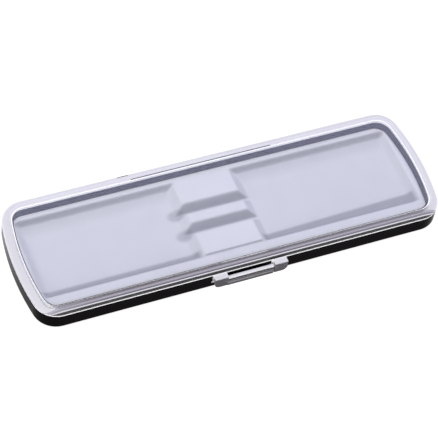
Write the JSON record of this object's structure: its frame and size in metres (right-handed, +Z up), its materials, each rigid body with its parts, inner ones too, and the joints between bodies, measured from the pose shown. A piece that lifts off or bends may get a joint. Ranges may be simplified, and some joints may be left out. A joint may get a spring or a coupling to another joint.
{
  "type": "pencil case",
  "caption": "Slim hinged pencil case with a clear lid, glossy black base, flocked insert with a grooved pencil rest, and a swinging front clasp.",
  "frame": {"origin": "centre of the flat underside, midway along and across the base's outline", "axes": "+X along the case, to the right when the clasp faces the user; -Y towards the clasp, +Y towards the hinge; +Z up through the lid"},
  "size_m": [0.19, 0.0638, 0.0128],
  "materials": {
    "black_plastic": "high gloss black moulding",
    "clear_plastic": "water-clear polished moulding",
    "clasp_plastic": "water-clear polished moulding",
    "flock": "short-pile flock on a thin formed sheet, pale lavender grey",
    "pin_steel": "drawn steel wire"
  },
  "bodies": {
    "base": {"base_shell": "black_plastic", "flocked_insert": "flock", "hinge_pin_left": "pin_steel", "hinge_pin_right": "pin_steel"},
    "lid": {"lid_shell": "clear_plastic"},
    "front_clasp": {"clasp": "clasp_plastic"}
  },
  "joints": [
    {"name": "lid_hinge", "type": "hinge", "parent": "base", "child": "lid", "pos_m": [0, 0.0295, 0.0068], "axis": [-1, 0, 0], "range_deg": [0, 140]},
    {"name": "clasp_swing", "type": "hinge", "parent": "lid", "child": "front_clasp", "pos_m": [0, -0.0313, 0.00605], "axis": [-1, 0, 0], "range_deg": [0, 110]}
  ]
}
